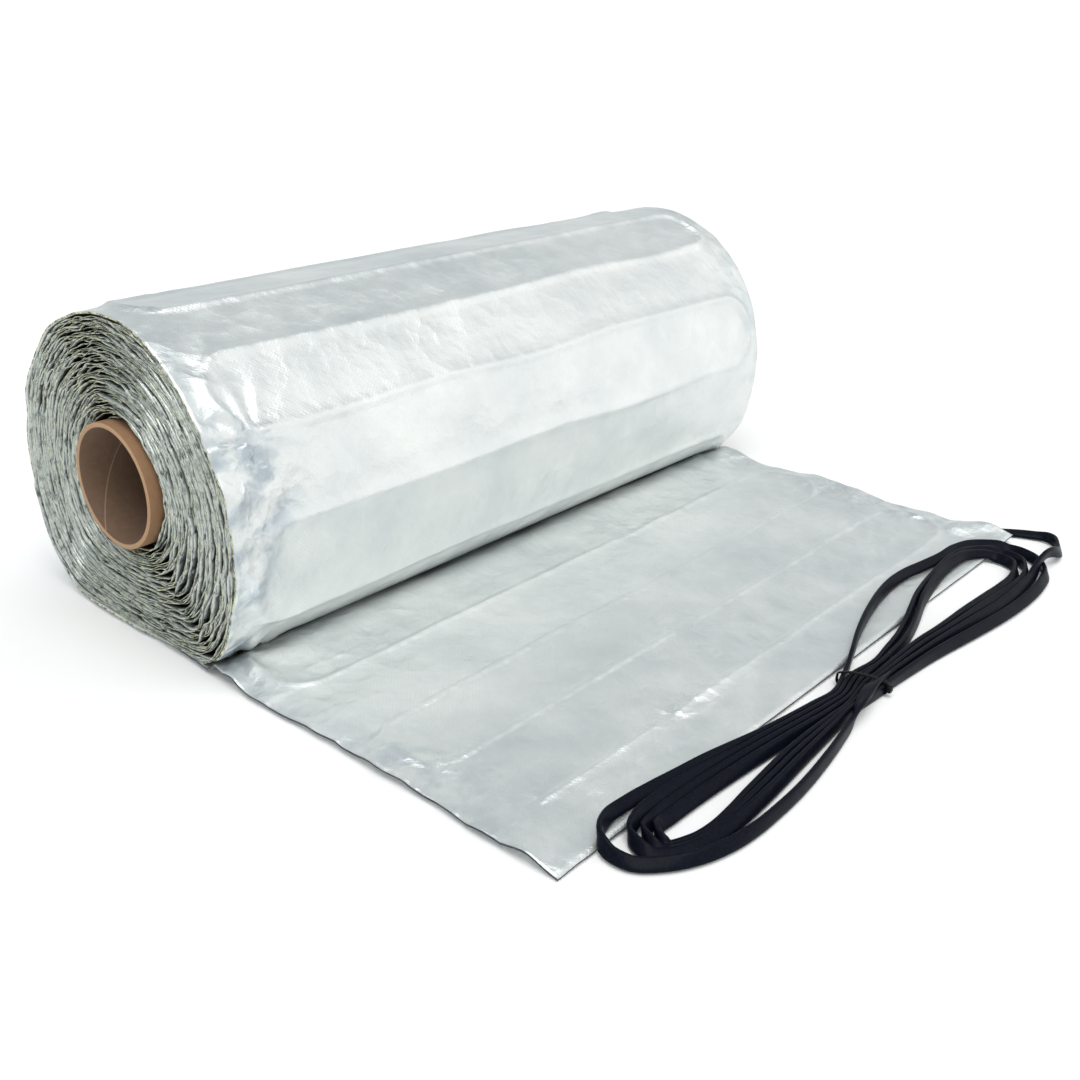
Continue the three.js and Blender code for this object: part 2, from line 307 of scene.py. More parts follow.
def finish_surface(material, colour, height, strength=1.0, roughness=None):
    """Give a material its colour, its relief in metres and, where there is one, its varied roughness."""
    tree = material.node_tree
    shader = tree.nodes["Principled BSDF"]
    tree.links.new(colour, shader.inputs["Base Color"])
    if roughness is not None:
        tree.links.new(roughness, shader.inputs["Roughness"])
    bump = add_node(tree, "ShaderNodeBump", None, Strength=strength, Distance=1.0, Height=height)
    tree.links.new(bump.outputs[0], shader.inputs["Normal"])


def speckled(name, dark, light, gloss, grain, scale, metallic=0.0):
    """A material between two colours by a fine noise, with that noise's relief in metres, and with its
    roughness taken between two by a slower noise."""
    material = plain(name, light, gloss[0], metallic)
    tree = material.node_tree
    place = add_node(tree, "ShaderNodeTexCoord").outputs["Object"]
    fine = noise(tree, place, scale, 3.0, 0.6)
    colour = between(tree, ranged(tree, fine, 0.40, 0.60), dark, light)
    roughness = shade(tree, noise(tree, place, scale / 9), *gloss)
    finish_surface(material, colour, sums(tree, "MULTIPLY", fine, grain), 1.0, roughness)
    return material


SHEATH_DARK = (0.0022, 0.0034, 0.0074)
SHEATH_LIGHT = (0.0042, 0.0060, 0.0120)
sheath = speckled("black_sheath", SHEATH_DARK, SHEATH_LIGHT, (0.26, 0.50), 0.00004, 700.0)
sheath.node_tree.nodes["Principled BSDF"].inputs["Specular IOR Level"].default_value = 0.07
cold_lead.data.materials.append(sheath)
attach(cold_lead, "root")
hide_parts("supply_cord", "cord_hank")


# The mat is one long sheet of crinkled aluminium foil on a scrim, with a thin heating wire laid between in
# a serpentine. It lies flat from its free end, goes under the roll, up its back and over it to the front.
MAT_HALF = 0.250
FOIL_THICK = 0.0011
CORE_Y, CORE_Z = -0.0015, 0.0934
BORE, ROLL = 0.0368, 0.0990
OVAL_HALF_WIDTH, OVAL_HALF_HEIGHT, OVAL_Z = 0.1026, 0.1093, 0.0793
SEAT_Z = 0.0011
# the wire's straight runs, as distances from the free end
RUNS = np.array([
    40, 93, 142, 199, 250, 302, 354, 405, 456, 508, 560, 611, 661, 703.5, 750, 801, 861, 911,
]) / 1000
WIRE_LEFT, WIRE_RIGHT, U_REACH = -0.212, 0.214, 0.024
RIDGE_HIGH, TENT_HIGH = 0.0010, 0.0006
RIDGE_WIDE, WIDER_ON_ROLL, TENT_WIDE = 0.0022, 0.0011, 0.0080
# the run at which the sheet turns up at the back, so that its upper side faces into the roll
TURNED_OVER = 0.33
# how far panels sink on the roll and stand off the floor, and how high cones and pleats of crushed foil stand
SUNK, SLACK, UNEVEN = 0.0007, 0.0016, 0.0007
LARGE_CONES, SMALL_CONES, PLEAT_HIGH = 0.0040, 0.0010, 0.0030
DEEPEST_DENT = 0.0014
EVEN_CRUSH = 0.30
# pleats that fan out from a point: x, run, turn, and the angle of one fold
PLEATS = [(-0.222, 0.752, 0.2, 0.30), (-0.226, 0.902, 0.9, 0.42), (-0.236, 0.246, 0.4, 0.45)]
# places where the foil is crushed: x, run, half width, half run, how much
CRUSHED = [
    (-0.226, 0.776, 0.026, 0.030, 1.0), (-0.243, 0.830, 0.016, 0.060, 0.8),
    (-0.236, 0.895, 0.030, 0.022, 0.7), (-0.200, 0.280, 0.050, 0.030, 0.5),
    (-0.150, 0.030, 0.080, 0.020, 0.2), (-0.090, 0.042, 0.030, 0.009, 1.1),
    (-0.225, 0.110, 0.030, 0.050, 0.4), (0.060, 0.200, 0.050, 0.020, 0.3),
    (0.225, 0.250, 0.025, 0.030, 0.4),
]


def rim(angle):
    """Distance from the core's axis to the settled roll's outline at an angle from straight up: an oval
    whose lower side is cut flat by the floor, the two joined by a power mean."""
    s, c = np.sin(angle), np.cos(angle)
    up = CORE_Z - OVAL_Z
    a = (s / OVAL_HALF_WIDTH) ** 2 + (c / OVAL_HALF_HEIGHT) ** 2
    b = CORE_Y * s / OVAL_HALF_WIDTH**2 + up * c / OVAL_HALF_HEIGHT**2
    d = (CORE_Y / OVAL_HALF_WIDTH) ** 2 + (up / OVAL_HALF_HEIGHT) ** 2 - 1
    oval = (-b + np.sqrt(b * b - a * d)) / a
    flat = (CORE_Z - SEAT_Z) / np.maximum(-c, 0.02)
    return (oval**-16 + flat**-16) ** (-1 / 16)


def lattice(x, y, seed, period=256):
    """Value noise from 0 to 1: random numbers on a unit lattice, joined by a smooth step. It repeats
    along x after the period."""
    table = np.random.default_rng(seed).random((256, 256))
    i, j = np.floor(x).astype(int), np.floor(y).astype(int)
    u, v = x - i, y - j
    u, v = u * u * (3 - 2 * u), v * v * (3 - 2 * v)
    i, k = i % period, (i + 1) % period
    a, b = table[i, j % 256], table[k, j % 256]
    c, d = table[i, (j + 1) % 256], table[k, (j + 1) % 256]
    return (a * (1 - u) + b * u) * (1 - v) + (c * (1 - u) + d * u) * v


def facets(x, y, seed):
    """Crushed foil: the distance to the nearest of random points, one in each unit cell, so that flat
    cones meet in sharp valleys."""
    spots = np.random.default_rng(seed).random((64, 64, 2))
    i, j = np.floor(x).astype(int), np.floor(y).astype(int)
    near = np.full(np.broadcast(x, y).shape, 9.0)
    for di in (-1, 0, 1):
        for dj in (-1, 0, 1):
            spot = spots[(i + di) % 64, (j + dj) % 64]
            near = np.minimum(near, np.hypot(i + di + spot[..., 0] - x, j + dj + spot[..., 1] - y))
    return near


def mound(t):
    """1 at 0, falling smoothly to 0 at 1 and beyond."""
    t = np.clip(np.abs(t), 0, 1)
    return 1 - t * t * (3 - 2 * t)


def outline_table():
    """The mat's middle line seen from the roll's end: run from the free end, y, z, and the way up from
    the laid part or out of the roll."""
    angle = np.linspace(np.pi - 0.62, -np.pi + 0.50, 1600)
    y = CORE_Y + rim(angle) * np.sin(angle)
    z = CORE_Z + rim(angle) * np.cos(angle)
    run = -MAT_EDGE + y[0] + np.concatenate([[0], np.cumsum(np.hypot(np.diff(y), np.diff(z)))])
    under = np.linspace(0, run[0], 200, endpoint=False)
    laid_z = np.interp(under, [0, 0.27, run[0]], [MAT_TOP - FOIL_THICK / 2, MAT_TOP - FOIL_THICK / 2, z[0]])
    run = np.concatenate([under, run])
    y = np.concatenate([under + MAT_EDGE, y])
    z = np.concatenate([laid_z, z])
    ahead_y, ahead_z = np.gradient(y), np.gradient(z)
    length = np.hypot(ahead_y, ahead_z)
    flip = 2 * np.clip((run - TURNED_OVER) / 0.04 + 0.5, 0, 1) - 1
    return run, y, z, ahead_z / length * flip, -ahead_y / length * flip


OUTLINE = outline_table()


def wire_distance(x, run):
    """Distance from the heating wire's middle line: to a straight run, or to the half oval of a U-turn."""
    near = np.full(x.shape, 1.0)
    wander = 0.0022 * (2 * lattice(x * 12 + 5, run * 60, 71) - 1)
    for k, place in enumerate(RUNS):
        inside = (x > WIRE_LEFT) & (x < WIRE_RIGHT)
        near = np.where(inside, np.minimum(near, np.abs(run - place - wander)), near)
        if k + 1 == len(RUNS):
            break
        end = WIRE_RIGHT if k % 2 == 0 else WIRE_LEFT
        side = np.sign(end)
        half = (RUNS[k + 1] - place) / 2
        dx, dr = (x - end) * side, run - place - half - wander
        q = np.hypot(dx / U_REACH, dr / half) + 1e-9
        slope = np.hypot(dx / U_REACH**2, dr / half**2) / q
        near = np.where(dx >= 0, np.minimum(near, np.abs(q - 1) / slope), near)
    return near


def crushing(x, run):
    """How crushed the foil is, 0 to 1.5: a little everywhere, more along the side edges and at the places
    named above."""
    much = EVEN_CRUSH + 0.35 * np.exp(-(((MAT_HALF - np.abs(x)) / 0.022) ** 2))
    much = much + 0.30 * lattice(x * 11, run * 14, 91) ** 2
    for place, at, wide, long, strength in CRUSHED:
        much = much + strength * np.exp(-(((x - place) / wide) ** 2) - ((run - at) / long) ** 2)
    return much


def foil_lift(x, run):
    """Everything that raises the foil from its plain surface: the wire with its tent of foil, the panels
    between the runs, which are pulled flat on the roll and slack on the floor, and crushed places."""
    on_roll = np.clip((run - TURNED_OVER) / 0.05, 0, 1)
    d = wire_distance(x, run)
    thin = 0.75 + 0.5 * lattice(x * 22, run * 25, 72)
    high = RIDGE_HIGH * (1 + on_roll * (0.6 + 0.5 * (np.abs(x) > 0.2)))
    ridge = high * np.exp(-((d / (RIDGE_WIDE + WIDER_ON_ROLL * on_roll)) ** 2))
    lift = thin * (ridge + TENT_HIGH * np.exp(-((d / TENT_WIDE) ** 2)))
    panel = np.interp(run, RUNS, np.arange(len(RUNS))) % 1
    reach = mound((np.abs(x) - 0.205) / 0.04 * (np.abs(x) > 0.205))
    lift -= on_roll * SUNK * np.sin(np.pi * panel) * reach
    lift += (1 - on_roll) * SLACK * lattice(x * 10, run * 18, 81) * (0.3 + np.sin(np.pi * panel))
    lift += on_roll * UNEVEN * (lattice(x * 9, run * 16, 82) - 0.5)
    # flat cones of crushed foil, large and small, then pleats that fan out from a point
    much = crushing(x, run) - EVEN_CRUSH * (0.7 + 0.3 * on_roll)
    bent_x = x + 0.006 * lattice(x * 40, run * 40, 83)
    bent_run = run + 0.006 * lattice(x * 40, run * 40, 84)
    lift += LARGE_CONES * much * (facets(bent_x * 30 + bent_run * 9, bent_run * 34 - bent_x * 9, 85) - 0.5)
    lift += SMALL_CONES * much * (facets(bent_x * 95, bent_run * 95, 86) - 0.5)
    for place, at, turned, spread in PLEATS:
        away = np.hypot(x - place, run - at)
        folds = np.abs((np.arctan2(run - at, x - place) - turned) / spread % 2 - 1) - 0.5
        lift += PLEAT_HIGH * folds * mound((away - 0.017) / 0.024) * np.clip(away / 0.008, 0, 1)
    return np.where(on_roll > 0.5, np.maximum(lift, -DEEPEST_DENT), lift)


def edge_lift(x, run):
    """How far the laid part stands off the floor: ripples of its side edges, the near corner's curl, a
    crest just before the roll, and the far corner, which lies over the lead."""
    laid = mound(np.clip((run - 0.24) / 0.05, 0, 1))
    left = np.exp(-(((x + MAT_HALF) / 0.020) ** 2)) * (0.0003 + 0.0038 * lattice(run * 28, x * 0, 93) ** 2)
    right = np.exp(-(((MAT_HALF - x) / 0.018) ** 2)) * (0.0003 + 0.0030 * lattice(run * 26, x * 0, 94) ** 2)
    curl = 0.0022 * mound(np.hypot(x + MAT_HALF, run - 0.020) / 0.016)
    left = left * np.clip(run / 0.03, 0, 1)
    crest = 0.0042 * mound((run - 0.240) / 0.024) * (0.7 + 0.5 * lattice(x * 7, run * 0, 97))
    across, ahead = x[..., None] - lead_line[:30, 0], (run + MAT_EDGE)[..., None] - lead_line[:30, 1]
    away = np.min(np.hypot(across, ahead), axis=-1)
    over_lead = 0.0048 * mound(away / 0.017) + 0.0030 * mound(np.hypot(x - MAT_HALF, run) / 0.05)
    return laid * (left + right) + curl + crest + over_lead


def edge_shift(x, run):
    """How far the cut side edges wander in and out."""
    near = np.exp(-(((MAT_HALF - np.abs(x)) / 0.03) ** 2)) * np.sign(x)
    slow, fast = lattice(run * 24, np.sign(x), 95) - 0.5, lattice(run * 80, np.sign(x), 96) - 0.6
    return near * (0.0030 * slow + 0.0012 * fast)


def on_mat_surface(x, run, lift):
    """The point of the mat at x and a distance from its free end, lifted along the way out."""
    table_run, y, z, out_y, out_z = OUTLINE
    at_y = np.interp(run, table_run, y) + np.interp(run, table_run, out_y) * lift
    at_z = np.interp(run, table_run, z) + np.interp(run, table_run, out_z) * lift
    return np.stack([x, at_y, at_z], -1)


def grid_faces(rows, columns):
    """Quads of a grid of points, by rows."""
    i, j = np.meshgrid(np.arange(rows - 1), np.arange(columns - 1), indexing="ij")
    a = i * columns + j
    return np.stack([a, a + 1, a + columns + 1, a + columns], -1).reshape(-1, 4).tolist()


def places_along(finer, reach, fine, coarse, first, last, hidden=None):
    """Places along a length, a fine step apart near the given ones and a coarse step elsewhere, with
    long steps where the sheet is hidden."""
    at, made = first, []
    while at < last:
        made.append(at)
        if hidden and hidden[0] < at < hidden[1]:
            at += 4 * coarse
        else:
            at += fine if np.min(np.abs(finer - at)) < reach else coarse
    return np.array(made + [last])


def add_plan(piece, u, v):
    """A UV map that gives each point its place on the flat sheet, in metres."""
    layer = piece.data.uv_layers.new(name="sheet")
    corner = np.empty(len(piece.data.loops), np.int32)
    piece.data.loops.foreach_get("vertex_index", corner)
    layer.data.foreach_set("uv", np.stack([u.ravel()[corner], v.ravel()[corner]], -1).ravel())


def add_amount(piece, name, values):
    """A number for each point, which a material reads by name."""
    layer = piece.data.attributes.new(name, "FLOAT", "POINT")
    layer.data.foreach_set("value", values.ravel().astype(np.float32))


def new_group(name, inputs, outputs):
    """An empty shader node group with its named sockets, and its input and output nodes."""
    group = bpy.data.node_groups.new(name, "ShaderNodeTree")
    for socket, kind in inputs.items():
        group.interface.new_socket(socket, in_out="INPUT", socket_type=kind)
    for socket, kind in outputs.items():
        group.interface.new_socket(socket, in_out="OUTPUT", socket_type=kind)
    return group, group.nodes.new("NodeGroupInput"), group.nodes.new("NodeGroupOutput")


def crumple_group():
    """Fine relief of foil on scrim, in metres: flat cones of two sizes where it is crushed, small dents,
    and the scrim's crossed threads. Also a slow tone and a dullness for its colour and gloss."""
    group, given, result = new_group(
        "foil_crumple",
        {"Sheet": "NodeSocketVector", "Crumple": "NodeSocketFloat", "Scrim": "NodeSocketFloat"},
        {"Height": "NodeSocketFloat", "Tone": "NodeSocketFloat", "Dull": "NodeSocketFloat"},
    )
    sheet = given.outputs["Sheet"]
    drift = add_node(group, "ShaderNodeTexNoise", None, Vector=sheet, Scale=34.0, Detail=2.0).outputs["Color"]
    moved = add_node(group, "ShaderNodeVectorMath", {"operation": "SCALE"}, n0=drift, Scale=0.016)
    bent = add_node(group, "ShaderNodeVectorMath", {"operation": "ADD"}, n0=sheet, n1=moved.outputs[0])
    bent = bent.outputs[0]
    large = add_node(group, "ShaderNodeTexVoronoi", None, Vector=bent, Scale=58.0)
    small = add_node(group, "ShaderNodeTexVoronoi", None, Vector=bent, Scale=150.0)
    dents = noise(group, bent, 120.0, 5.0, 0.7)
    xyz = add_node(group, "ShaderNodeSeparateXYZ", None, Vector=sheet)
    x, run = xyz.outputs[0], xyz.outputs[1]
    first = sums(group, "SINE", sums(group, "MULTIPLY", sums(group, "ADD", x, run), 2400.0))
    second = sums(group, "SINE", sums(group, "MULTIPLY", sums(group, "SUBTRACT", x, run), 2400.0))
    slow = noise(group, sheet, 13.0, 4.0, 0.6)
    threads = sums(group, "MULTIPLY", sums(group, "ADD", first, second), given.outputs["Scrim"])
    threads = sums(group, "MULTIPLY", threads, shade(group, slow, -1.0, 2.4))
    folds = sums(group, "MULTIPLY", large.outputs["Distance"], 0.0022)
    folds = sums(group, "ADD", folds, sums(group, "MULTIPLY", small.outputs["Distance"], 0.0006))
    folds = sums(group, "MULTIPLY", folds, given.outputs["Crumple"])
    height = sums(group, "ADD", folds, sums(group, "MULTIPLY", dents, 0.0005))
    height = sums(group, "ADD", height, threads)
    group.links.new(height, result.inputs["Height"])
    group.links.new(slow, result.inputs["Tone"])
    group.links.new(noise(group, sheet, 55.0, 5.0, 0.65), result.inputs["Dull"])
    return group


CRUMPLE = crumple_group()


def foil_material(name, dark, light, metallic, scrim, relief):
    """Foil between two colours, with the crumple group's relief and gloss read from the sheet's own map.
    It has blue-grey patches of painted reflection where its margins are crushed, and painted shade where it
    goes under the roll."""
    material = plain(name, light, 0.4, metallic)
    tree = material.node_tree
    sheet = add_node(tree, "ShaderNodeUVMap", {"uv_map": "sheet"}).outputs[0]
    crushed = add_node(tree, "ShaderNodeAttribute", {"attribute_name": "crushed"}).outputs["Fac"]
    painted_crevice_shade = add_node(tree, "ShaderNodeAttribute", {"attribute_name": "painted_crevice_shade"}).outputs["Fac"]
    inputs = {"Sheet": sheet, "Crumple": crushed, "Scrim": scrim}
    group = add_node(tree, "ShaderNodeGroup", {"node_tree": CRUMPLE}, **inputs)
    clean = between(tree, shade(tree, group.outputs["Tone"], -0.6, 1.6), dark, light)
    aside = sums(tree, "ABSOLUTE", add_node(tree, "ShaderNodeSeparateXYZ", None, Vector=sheet).outputs[0])
    # painted reflection: blue-grey patches on the crushed side margins stand for reflections of a darker
    # surround
    patches = ranged(tree, noise(tree, sheet, 56.0, 4.0), 0.44, 0.62)
    painted_reflection_share = sums(tree, "MULTIPLY", patches, ranged(tree, crushed, 0.50, 1.2))
    painted_reflection_share = sums(tree, "MULTIPLY", painted_reflection_share, ranged(tree, aside, 0.17, 0.22))
    painted_reflection_patched = between(tree, painted_reflection_share, clean, (0.46, 0.52, 0.56))
    # painted shade: the foil goes near black where it runs under the roll
    whole = between(tree, painted_crevice_shade, painted_reflection_patched, (0.06, 0.075, 0.08))
    gloss = shade(tree, group.outputs["Dull"], 0.26, 0.58)
    finish_surface(material, whole, group.outputs["Height"], relief, gloss)
    return material


mat_runs = places_along(RUNS, 0.0055, 0.0011, 0.0042, 0.0, OUTLINE[0][-1], (0.265, 0.425))
mat_x = places_along(np.array([-0.232, 0.234]), 0.018, 0.0020, 0.0044, -MAT_HALF, MAT_HALF)
grid_x, grid_run = np.meshgrid(mat_x, mat_runs)
foil_points = on_mat_surface(grid_x, grid_run, foil_lift(grid_x, grid_run) + edge_lift(grid_x, grid_run))
foil_points[..., 0] += edge_shift(grid_x, grid_run)
foil_sheet = add_piece("foil_sheet", foil_points.reshape(-1, 3), grid_faces(*grid_x.shape))
add_plan(foil_sheet, grid_x, grid_run)
add_amount(foil_sheet, "crushed", crushing(grid_x, grid_run))
# painted shade: the foil is darkened where it goes under the roll, with a darker broken line of painted shade
# along the wire's run there, which is 0.25 m from the free end
painted_shade_under_roll = 0.50 * mound((grid_run - 0.256) / 0.024)
painted_shade_under_roll += 0.50 * mound((grid_run - 0.2500) / 0.0055) * lattice(grid_x * 25, grid_run * 0, 98)
add_amount(foil_sheet, "painted_crevice_shade", painted_shade_under_roll)
laminate = foil_sheet.modifiers.new("laminate", "SOLIDIFY")
laminate.thickness = FOIL_THICK
laminate.offset = 0
laminate.material_offset_rim = 1
FOIL_DARK = (0.66, 0.70, 0.705)
FOIL_LIGHT = (0.86, 0.88, 0.865)
SCRIM_RELIEF = 0.000016
foil = foil_material("crinkled_foil", FOIL_DARK, FOIL_LIGHT, 0.82, SCRIM_RELIEF, 1.0)
cut_edge = speckled("cut_edge", (0.016, 0.020, 0.030), (0.060, 0.070, 0.080), (0.45, 0.70), 0.0001, 420.0)
THREAD_DARK = (0.10, 0.11, 0.08)
THREAD_LIGHT = (0.70, 0.72, 0.48)
scrim_edge = speckled("scrim_edge", THREAD_DARK, THREAD_LIGHT, (0.35, 0.60), 0.0001, 330.0, 0.2)
# the cut edge is dark on the laid part and shows the scrim's yellow-green threads on the roll
for material in [foil, cut_edge, foil, scrim_edge]:
    foil_sheet.data.materials.append(material)
wound = np.repeat(mat_runs[:-1] > 0.30, len(mat_x) - 1)
foil_sheet.data.polygons.foreach_set("material_index", np.where(wound, 2, 0).astype(np.int32))
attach(foil_sheet, "root")
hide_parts("heating_mat")


# The wound turns show on both ends of the roll. Each turn is two skins of foil with scrim between, pressed
# together but parted here and there at the edge, so that wavy bright strips and dark gaps lie side by side
# round the core.
TURNS = 20
STRIP_THICK = 0.00036
# how high the skins' waves are, shared by turns, long and short; how deep they reach into the roll; how far
# apart the skins are, as a share of a turn; and how unevenly their edges stand out
SHARED_WAVE, LONG_WAVE, SHORT_WAVE = 0.0024, 0.0034, 0.0018
WAVES_FADE = 0.009
SKIN_APART = 0.32
STANDS_OUT, FRAYED = 0.0040, 0.0016


def wound_skin(side, skin, seed, step):
    """One skin's edge from the bore to the outer turn, with rows going into the roll: the radius grows with
    the angle, and waves open and close it against the next turn, most at the top and low at the front."""
    fine = np.linspace(0, 2 * np.pi * (TURNS - 0.02), 60000)
    reach = BORE + (ROLL - BORE) * fine / fine[-1]
    length = np.concatenate([[0], np.cumsum(reach[1:] * np.diff(fine))])
    theta = np.interp(np.arange(0, length[-1], step), length, fine)
    t, deep = np.meshgrid(theta, np.array([0.0, 0.0020, 0.006, 0.015]))
    turn, around = t / (2 * np.pi), t % (2 * np.pi)
    cell = around / (2 * np.pi)
    top = np.exp(-(((around + np.pi - 0.2) % (2 * np.pi) - np.pi) / 0.75) ** 2)
    low = np.exp(-(((around + np.pi + 2.35) % (2 * np.pi) - np.pi) / 0.60) ** 2)
    loose = 0.62 + 0.70 * top + 0.75 * low
    far = np.interp(t, fine, length)
    # waves that turns share round the roll, then longer and shorter ones along the strip
    wave = SHARED_WAVE * (lattice(cell * 20, turn * 0.45 + 0.25 * skin, seed, 20) - 0.5)
    wave += LONG_WAVE * (lattice(far / 0.017 + 90 * skin, turn * 0.9 + skin, seed + 1) - 0.5)
    wave += SHORT_WAVE * (lattice(far / 0.0066 + 50 * skin, turn * 0.9 + skin, seed + 2) - 0.5)
    fade = np.exp(-deep / WAVES_FADE)
    pitch = (ROLL - BORE - 0.0022) / TURNS
    radius = BORE + 0.0008 + pitch * (turn + SKIN_APART * skin) + loose * wave * fade
    settled = BORE + (radius - BORE) / (ROLL - BORE) * (rim(around) - BORE)
    settled = np.minimum(settled, rim(around) - 0.0016 - 0.0020 * np.clip(deep / 0.004, 0, 1))
    # the edges stand out unevenly
    out = STANDS_OUT * (lattice(cell * 6, turn * 1.7 + 0.2 * skin, seed + 3, 6) - 0.5)
    out += FRAYED * (lattice(cell * 40, turn * 1.9 + skin, seed + 4, 40) - 0.5)
    x = side * (MAT_HALF - 0.0010 + out * fade - deep)
    points = np.stack([x, CORE_Y + settled * np.sin(around), CORE_Z + settled * np.cos(around)], -1)
    return points, far, deep


def strip_material():
    """The same foil, specked with dark dashes of painted shade along the turns, where small gaps open between
    them, and going dark a few millimetres in, painted shade where no light reaches between them."""
    material = foil_material("wound_foil", (0.46, 0.51, 0.48), (0.72, 0.76, 0.73), 0.75, 0.00002, 0.9)
    tree = material.node_tree
    colour = tree.nodes["Principled BSDF"].inputs["Base Color"]
    lit = colour.links[0].from_socket
    sheet = add_node(tree, "ShaderNodeUVMap", {"uv_map": "sheet"}).outputs[0]
    deep = add_node(tree, "ShaderNodeSeparateXYZ", None, Vector=sheet).outputs[1]
    # painted shade: the colour goes near black a few millimetres into the roll
    dark = between(tree, ranged(tree, deep, 0.0003, 0.0040), lit, (0.03, 0.035, 0.035))
    # painted shade: dark dashes along the turns stand for small shaded gaps between them
    dashes = add_node(tree, "ShaderNodeVectorMath", {"operation": "MULTIPLY"}, n0=sheet, n1=(1.0, 3.5, 1.0))
    gap_shade_dashes = ranged(tree, noise(tree, dashes.outputs[0], 150.0, 4.0, 0.7), 0.50, 0.64)
    tree.links.new(between(tree, gap_shade_dashes, dark, (0.06, 0.07, 0.07)), colour)
    return material


strip_foil = strip_material()
for name, side, skin, seed, step in [
    ("near_turns_inner", -1, 0, 300, 0.0018), ("near_turns_scrim", -1, 1, 320, 0.0018),
    ("near_turns_outer", -1, 2, 340, 0.0018), ("far_turns_inner", 1, 0, 400, 0.0024),
    ("far_turns_scrim", 1, 1, 420, 0.0024), ("far_turns_outer", 1, 2, 440, 0.0024),
]:
    points, u, v = wound_skin(side, skin, seed, step)
    strip = add_piece(name, points.reshape(-1, 3), grid_faces(*points.shape[:2]))
    add_plan(strip, u, v)
    add_amount(strip, "crushed", np.full(u.shape, 0.6))
    skin_wall = strip.modifiers.new("skin", "SOLIDIFY")
    skin_wall.thickness = STRIP_THICK
    skin_wall.offset = 0
    skin_wall.material_offset_rim = 1
    strip.data.materials.append(strip_foil)
    strip.data.materials.append(scrim_edge)
    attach(strip, "root")


# Behind the open edges the wound turns are one solid ring, seen only in the gaps and painted near black
# as the shade there. It stands for all the foil and scrim wound tight inside the roll.
def turned_ring(profile, around, settle):
    """A closed profile of distance along the axis and radius, carried round the core's axis."""
    angle = np.linspace(0, 2 * np.pi, around, endpoint=False)
    x, radius = np.broadcast_arrays(profile[:, :1], profile[:, 1:] + 0 * angle)
    if settle:
        radius = BORE + (radius - BORE) / (ROLL - BORE) * (rim(angle) - BORE)
    points = np.stack([x, CORE_Y + radius * np.sin(angle), CORE_Z + radius * np.cos(angle)], -1)
    i, j = np.meshgrid(np.arange(len(profile)), np.arange(around), indexing="ij")
    k, m = (i + 1) % len(profile), (j + 1) % around
    faces = np.stack([i * around + j, i * around + m, k * around + m, k * around + j], -1)
    return points, faces.reshape(-1, 4).tolist()


RING_END = MAT_HALF - 0.010
ring = np.array([
    (-RING_END, BORE + 0.0004), (-RING_END, ROLL - 0.0030), (RING_END, ROLL - 0.0030),
    (RING_END, BORE + 0.0004),
])
ring_points, ring_faces = turned_ring(ring, 96, True)
wound_ring = add_piece("wound_ring", ring_points.reshape(-1, 3), ring_faces)
# painted shade: the ring's near-black colour stands for the shade between the wound turns
painted_gap_shade = speckled("painted_gap_shade", (0.020, 0.023, 0.025), (0.045, 0.050, 0.052), (0.70, 0.90), 0.0002, 300.0)
wound_ring.data.materials.append(painted_gap_shade)
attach(wound_ring, "root")


# The core is a tube of wound kraft board: plies of paper glued on a spiral, cut square, with the plies'
# edges showing on the rim and the innermost ply's seam running round inside.
CORE_IN, CORE_OUTSIDE = 0.0335, 0.0365
CORE_NEAR, CORE_FAR, LIP = -0.2560, 0.2500, 0.0006
SEAM_PITCH = 0.1112
SEAM_START = 0.2071

core_profile = np.array([
    (CORE_FAR, CORE_IN + LIP), (CORE_FAR - LIP, CORE_IN), (0.10, CORE_IN), (-0.05, CORE_IN),
    (-0.15, CORE_IN), (-0.22, CORE_IN), (CORE_NEAR + LIP, CORE_IN), (CORE_NEAR, CORE_IN + LIP),
    (CORE_NEAR, CORE_OUTSIDE - LIP), (CORE_NEAR + LIP, CORE_OUTSIDE), (-0.2480, CORE_OUTSIDE),
    (-0.2300, CORE_OUTSIDE), (0.1, CORE_OUTSIDE), (CORE_FAR - LIP, CORE_OUTSIDE),
    (CORE_FAR, CORE_OUTSIDE - LIP),
])
core_points, core_faces = turned_ring(core_profile, 128, False)
core_tube = add_piece("kraft_core", core_points.reshape(-1, 3), core_faces)


